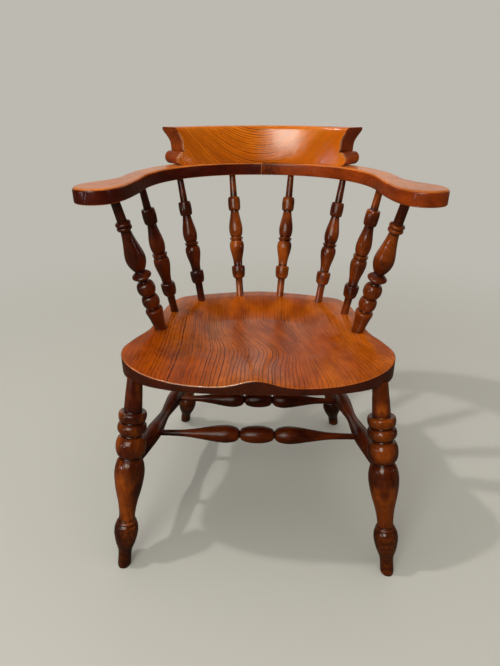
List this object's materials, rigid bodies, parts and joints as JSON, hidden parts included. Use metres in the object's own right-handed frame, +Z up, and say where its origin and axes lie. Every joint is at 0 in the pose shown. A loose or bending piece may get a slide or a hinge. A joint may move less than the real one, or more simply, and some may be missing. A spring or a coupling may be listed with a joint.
{
  "type": "captains chair",
  "caption": "Captain's chair with a dished saddle seat, a sawn arm bow with flared hand rests, a scrolled crest rail, turned spindles, turned legs and stretchers.",
  "frame": {"origin": "on the floor under the middle of the chair's outer box", "axes": "+Z up, the sitter faces -Y, +X is the sitter's left hand side"},
  "size_m": [0.66, 0.5902, 0.8193],
  "materials": {
    "seat_wood": "gloss",
    "crest_wood": "gloss",
    "bow_wood": "gloss",
    "leg_wood": "gloss",
    "spindle_wood": "gloss",
    "screw_steel": "dull"
  },
  "bodies": {
    "root": {"seat": "seat_wood", "leg_front_left": "leg_wood", "leg_front_right": "leg_wood", "leg_back_left": "leg_wood", "leg_back_right": "leg_wood", "side_stretcher_left": "spindle_wood", "side_stretcher_right": "spindle_wood", "cross_stretcher_front": "spindle_wood", "cross_stretcher_back": "spindle_wood", "spindle_middle_left": "spindle_wood", "spindle_middle_right": "spindle_wood", "spindle_quarter_left": "spindle_wood", "spindle_quarter_right": "spindle_wood", "spindle_side_left": "spindle_wood", "spindle_side_right": "spindle_wood", "arm_spindle_left": "spindle_wood", "arm_spindle_right": "spindle_wood", "arm_left": "bow_wood", "arm_right": "bow_wood", "crest_rail": "crest_wood", "crest_screw_inner_left": "screw_steel", "crest_screw_inner_right": "screw_steel", "crest_screw_outer_left": "screw_steel", "crest_screw_outer_right": "screw_steel"}
  },
  "joints": []
}
